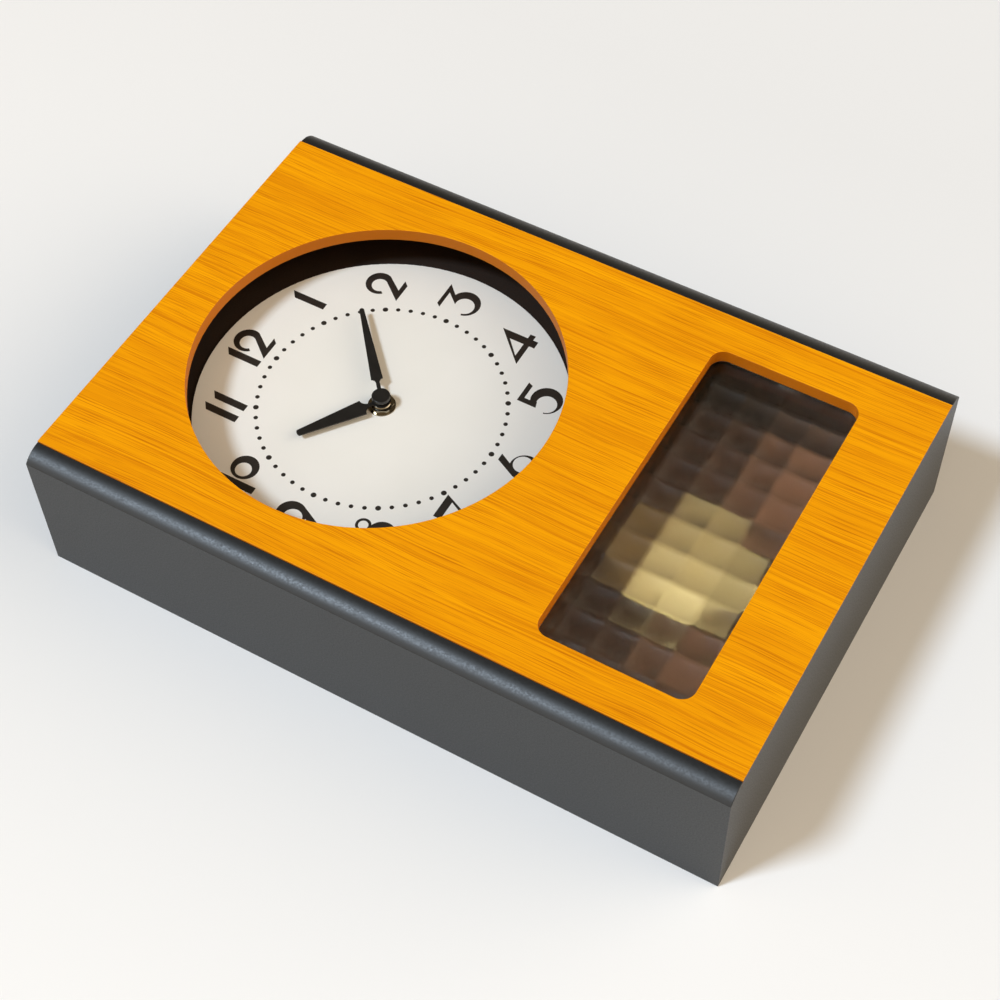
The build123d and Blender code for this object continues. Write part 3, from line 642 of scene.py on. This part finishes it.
def print_on_dial(name, outlines):
    """Outlines in millimetres from the dial's middle, as ink on its face."""
    place = (dial_middle.x, dial_low.y, dial_middle.z)
    raised_shape(name, outlines, place, ink_lift, ink)


dot_ring = 52.4
hour_dot = 1.2
minute_dot = 0.95
dots = []
for minute in range(60):
    x, z = on_circle(0, 0, dot_ring, 90 - 6 * minute)
    size = hour_dot if minute % 5 == 0 else minute_dot
    dots.append(ring(x, z, size, steps=15, last=337.5))
print_on_dial("minute_dots", dots)

# Each figure that is used twice is drawn from its own lower left corner or its bowl's middle.
bar = [(0, 0), (3.36, 0), (3.36, 17.0), (0, 14.4)]
two = (
    arc(6.12, 11.5, 6.12, 222.7, -20.4)
    + [(6.5, 2.15), (12.45, 2.25), (10.45, 0), (0.9, 0), (8.2, 9.0)]
    + arc(5.3, 10.95, 3.52, -33.0, 222)
)
nine = arc(0, 2.6, 6.4, -23.4, 277.2, 30) + [(-1.96, -8.9), (1.4, -8.9)]
nine_hole = ring(-1.1, 1.2, 4.1, 30)
print_on_dial("numeral_12", [moved(bar, -7.94, 57.0), moved(two, -3.76, 57.04)])
print_on_dial("numeral_1", [moved(bar, 32.4, 49.9)])
print_on_dial("numeral_2", [moved(two, 50.9, 24.8)])

three = (
    [(1.8, 17.8), (13.9, 17.8)]
    + arc(6.96, 6.83, 6.78, 69.3, -167.4)
    + arc(5.6, 6.4, 4.34, -170.8, 102.8)
    + [(9.4, 16.0), (0.2, 15.9)]
)
print_on_dial("numeral_3", [moved(three, 57.8, -9.1)])

four = [
    (14.6, 17.4), (14.6, 5.3), (17.0, 5.3), (17.0, 2.7), (14.6, 2.7),
    (14.6, 0.2), (10.9, 0.2), (10.9, 2.7), (-0.1, 2.7),
]
four_hole = [(10.9, 12.0), (3.7, 5.3), (10.9, 5.3)]
print_on_dial("numeral_4", [moved(four, 46.3, -40.6), moved(four_hole, 46.3, -40.6)])

five = (
    [(1.8, 18.0), (12.3, 18.0), (11.4, 15.8), (4.25, 15.8)]
    + arc(7.2, 6.9, 6.9, 115.4, -163.3)
    + arc(5.5, 6.0, 4.45, -170.5, 99.7)
    + [(4.8, 10.1), (1.8, 9.2)]
)
print_on_dial("numeral_5", [moved(five, 27.8, -65.6)])
print_on_dial("numeral_6", [moved(nine, 0.4, -65.0, True), moved(nine_hole, 0.4, -65.0, True)])

seven = [
    (-37.9, -47.3), (-26.0, -47.3), (-34.0, -65.0),
    (-36.0, -65.0), (-28.6, -50.7), (-37.9, -50.7),
]
print_on_dial("numeral_7", [seven])

eight = arc(-55.6, -34.0, 6.1, 71.8, -257.0, 30) + arc(-55.2, -25.3, 3.3, 237.6, -62.8)
lower_hole = ring(-56.6, -34.0, 3.8, 30)
upper_hole = ring(-55.2, -25.3, 2.1)
print_on_dial("numeral_8", [eight, lower_hole, upper_hole])
print_on_dial("numeral_9", [moved(nine, -64.7, 0.3), moved(nine_hole, -64.7, 0.3)])

nought = ring(-54.3, 31.9, 5.96, 30)
nought_hole = ring(-55.5, 31.9, 3.47, 30)
print_on_dial("numeral_10", [moved(bar, -64.3, 22.2), nought, nought_hole])
print_on_dial("numeral_11", [moved(bar, -37.1, 48.7), moved(bar, -30.5, 48.7)])

# --- Hands ---------------------------------------------------------------------------------------
# Blanked from thin brass sheet, painted satin black, and held by a turned cap on the minute arbor,
# which is painted with them.

hand_paint, shader = made_surface(
    "hand_black",
    (0.0090, 0.0085, 0.0080),
    (0.014, 0.013, 0.012),
    rough=0.34,
    drift=250.0,
    grit=3000.0,
    relief=0.05,
)
dress(hand_paint, "hour_hand", "minute_hand", "hand_cap")

# --- Nut, washer and bushing ---------------------------------------------------------------------
# They clamp the movement to the dial, and show below the hands: turned from brass and nickel
# plated bright, so that they mirror the dark side of the room.

bright_nickel, shader = made_surface(
    "bright_nickel",
    (0.26, 0.23, 0.17),
    (0.32, 0.28, 0.21),
    rough=0.14,
    drift=300.0,
    grit=2600.0,
    relief=0.04,
)
shader.inputs["Metallic"].default_value = 1.0
dress(bright_nickel, "movement_bushing", "brass_washer", "fixing_nut")

# --- Arbor and pendulum --------------------------------------------------------------------------
# The minute arbor, and the pendulum's rod, bob and rating nut, turned or spun from brass, with
# fine rings round the axis under a clear lacquer, slightly aged.

aged_brass = (0.78, 0.60, 0.26)
fresh_brass = (0.88, 0.72, 0.36)
bob_low, bob_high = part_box("bob_front")
bob_middle = (bob_low + bob_high) / 2


def turned_brass(name, centre, rough):
    """Brass with the fine rings that a lathe tool leaves round a centre."""
    material, tree, shader, place = start_material(name)
    centred = add(tree, "VectorMath", {0: place, 1: centre}, operation="SUBTRACT").outputs[0]
    flat = add(tree, "VectorMath", {0: centred, 1: (1, 0, 1)}, operation="MULTIPLY").outputs[0]
    out = add(tree, "VectorMath", {0: flat}, operation="LENGTH").outputs["Value"]
    inputs = {"W": out, "Scale": 4200.0, "Detail": 2.0}
    rings = add(tree, "TexNoise", inputs, noise_dimensions="1D").outputs["Fac"]
    marks = add(tree, "Group", {"Vector": place, "Scale": 70.0}, node_tree=mottle)
    age = even_out(tree, marks.outputs["Drift"])
    tree.links.new(blend_tones(tree, age, aged_brass, fresh_brass), shader.inputs["Base Color"])
    tree.links.new(even_out(tree, rings, rough * 0.8, rough * 1.25), shader.inputs["Roughness"])
    shader.inputs["Metallic"].default_value = 1.0
    relief_of(tree, shader, rings, 0.12, 0.05 * MM)
    return material


dress(turned_brass("arbor_brass", dial_middle, 0.28), "minute_arbor")
bob_brass = turned_brass("bob_brass", bob_middle, 0.60)
dress(bob_brass, "pendulum_rod", "bob_front", "bob_back", "rating_nut")

# --- Movement ------------------------------------------------------------------------------------
# A quartz movement in a two-part black case, moulded in one shot with a fine spark-eroded texture.
# Its plate, capsule, wheels and setting knob are grey acetal.

black_plastic, shader = made_surface(
    "black_plastic",
    (0.016, 0.016, 0.017),
    (0.024, 0.024, 0.025),
    rough=0.48,
    drift=120.0,
    grit=2800.0,
    relief=0.35,
)
dress(black_plastic, "movement_front_case", "movement_back_cover", "pendulum_yoke")
acetal, shader = made_surface(
    "grey_acetal",
    (0.33, 0.33, 0.34),
    (0.40, 0.40, 0.40),
    rough=0.40,
    drift=160.0,
    grit=2400.0,
    relief=0.08,
)
dress(acetal, "movement_plate", "gear_capsule", "hour_wheel", "minute_wheel", "set_knob")

# --- Marks on the movement -----------------------------------------------------------------------
# Pad printed on the back cover in pale grey: a plus and a minus at the ends of the battery bay, and
# a curved arrow that shows which way the setting knob turns.

mark_lift = 0.05 * MM
mark_gap = 3.6 * MM
cover_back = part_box("movement_back_cover")[1].y
battery_low, battery_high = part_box("battery")
knob_low, knob_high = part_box("set_knob")
knob_middle = (knob_low + knob_high) / 2
minus = [(-1.5, -0.3), (1.5, -0.3), (1.5, 0.3), (-1.5, 0.3)]
plus = [
    (-1.5, -0.3), (-0.3, -0.3), (-0.3, -1.5), (0.3, -1.5), (0.3, -0.3), (1.5, -0.3),
    (1.5, 0.3), (0.3, 0.3), (0.3, 1.5), (-0.3, 1.5), (-0.3, 0.3), (-1.5, 0.3),
]
arrow = (
    arc(0, 0, 8.3, 40, 128)
    + [on_circle(0, 0, 9.6, 128), on_circle(0, 0, 8.0, 146), on_circle(0, 0, 6.4, 128)]
    + arc(0, 0, 7.7, 128, 40)
)
for name, outline, x, z in (
    ("plus_mark", plus, battery_high.x - mark_gap, battery_high.z + mark_gap),
    ("minus_mark", minus, battery_low.x + mark_gap, battery_high.z + mark_gap),
    ("turn_arrow", arrow, knob_middle.x, knob_middle.z),
):
    raised_shape(name, [outline], (x, cover_back, z), mark_lift, acetal)

# --- Circuit board and windings ------------------------------------------------------------------
# A small green-masked board carries the crystal. The motor's and the pendulum's coils are wound
# from hair-thin enamelled copper wire, layer on layer.

solder_mask, shader = made_surface(
    "solder_mask",
    (0.020, 0.120, 0.045),
    (0.035, 0.170, 0.065),
    rough=0.35,
    drift=500.0,
    grit=2600.0,
    relief=0.12,
)
dress(solder_mask, "circuit_board")
# The dark tone where the wave pattern dips is painted shade in the gaps between the turns; the
# copper tone on the turns is the wire's own colour.
painted_gap_shade = (0.30, 0.08, 0.03)
wire_top = (0.74, 0.30, 0.13)
winding, tree, shader, place = start_material("enamelled_copper")
inputs = {"Vector": place, "Scale": 1300.0, "Distortion": 1.5, "Detail": 1.0}
turns = add(tree, "TexWave", inputs).outputs["Fac"]
tree.links.new(blend_tones(tree, turns, painted_gap_shade, wire_top), shader.inputs["Base Color"])
shader.inputs["Metallic"].default_value = 0.9
shader.inputs["Roughness"].default_value = 0.35
relief_of(tree, shader, turns, 0.6, 0.1 * MM)
dress(winding, "motor_coil", "pendulum_coil")

# --- Battery -------------------------------------------------------------------------------------
# One AA cell in a shrunk film sleeve, dark with a copper-coloured band at the positive end, and
# bare steel at both ends.

button_end = 2.4 * MM
band_end = 13.2 * MM
base_end = 0.7 * MM
film_edge = 0.1 * MM
dark_film = (0.018, 0.020, 0.024)
copper_film = (0.55, 0.26, 0.11)
scuffed_film = (0.06, 0.06, 0.06)
bare_steel = (0.62, 0.62, 0.61)
sleeve, tree, shader, place = start_material("cell_wrap")
across = add(tree, "SeparateXYZ", {"Vector": place}).outputs["X"]


def beyond(tree, line):
    """Where the cell lies past a line across it, towards its positive end, as a socket."""
    return spread(tree, across, 0.0, 1.0, line, line + film_edge)


button = beyond(tree, battery_high.x - button_end)
band = beyond(tree, battery_high.x - band_end)
film = beyond(tree, battery_low.x + base_end)
base = add(tree, "Math", {0: 1.0, 1: film}, operation="SUBTRACT").outputs[0]
bare = add(tree, "Math", {0: button, 1: base}, operation="MAXIMUM").outputs[0]
marks = add(tree, "Group", {"Vector": place}, node_tree=mottle)
wrapped = blend_tones(tree, band, dark_film, copper_film)
scuffs = spread(tree, marks.outputs["Drift"], 0.0, 0.25)
worn = blend_tones(tree, scuffs, wrapped, scuffed_film)
tree.links.new(blend_tones(tree, bare, worn, bare_steel), shader.inputs["Base Color"])
tree.links.new(bare, shader.inputs["Metallic"])
gloss = even_out(tree, marks.outputs["Grit"], 0.20, 0.32)
tree.links.new(gloss, shader.inputs["Roughness"])
dress(sleeve, "battery")

# --- Battery spring ------------------------------------------------------------------------------
# The negative contact is a cone of plated spring wire that presses the cell against the other one.

spring_wire = 0.35 * MM
spring_turns = 3.5
spring_steps = 84
wide_end = 4.0 * MM
narrow_end = 2.1 * MM
spring_low, spring_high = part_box("battery_negative_contact")
spring_middle = (spring_low + spring_high) / 2
spring_start = spring_low.x + spring_wire
spring_length = spring_high.x - spring_low.x - 2 * spring_wire
spring_curve = bpy.data.curves.new("battery_spring", "CURVE")
spring_curve.dimensions = "3D"
spring_curve.bevel_depth = spring_wire
spring_curve.bevel_resolution = 3
spring_curve.use_fill_caps = True
coil = spring_curve.splines.new("POLY")
coil.points.add(spring_steps)
for step, point in enumerate(coil.points):
    share = step / spring_steps
    angle = 2 * math.pi * spring_turns * share
    radius = wide_end + (narrow_end - wide_end) * share
    point.co = (
        spring_start + spring_length * share,
        spring_middle.y + radius * math.cos(angle),
        spring_middle.z + radius * math.sin(angle),
        1,
    )
spring = bpy.data.objects.new("battery_spring", spring_curve)
bpy.context.scene.collection.objects.link(spring)
select_nothing()
spring.select_set(True)
bpy.context.view_layer.objects.active = spring
bpy.ops.object.convert(target="MESH")
spring = settle(bpy.context.object, "battery_spring")
bpy.ops.object.shade_smooth_by_angle(angle=math.radians(40))
spring.data.materials.clear()
spring.data.materials.append(steel)
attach(spring, "case")
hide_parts("battery_negative_contact")

# --- Pendulum magnet -----------------------------------------------------------------------------
# A small sintered magnet pressed into the yoke, nickel plated, with a faint grain.

nickel, shader = made_surface(
    "nickel",
    (0.42, 0.41, 0.39),
    (0.52, 0.51, 0.49),
    rough=0.30,
    drift=300.0,
    grit=2600.0,
    relief=0.10,
)
shader.inputs["Metallic"].default_value = 1.0
dress(nickel, "pendulum_magnet")
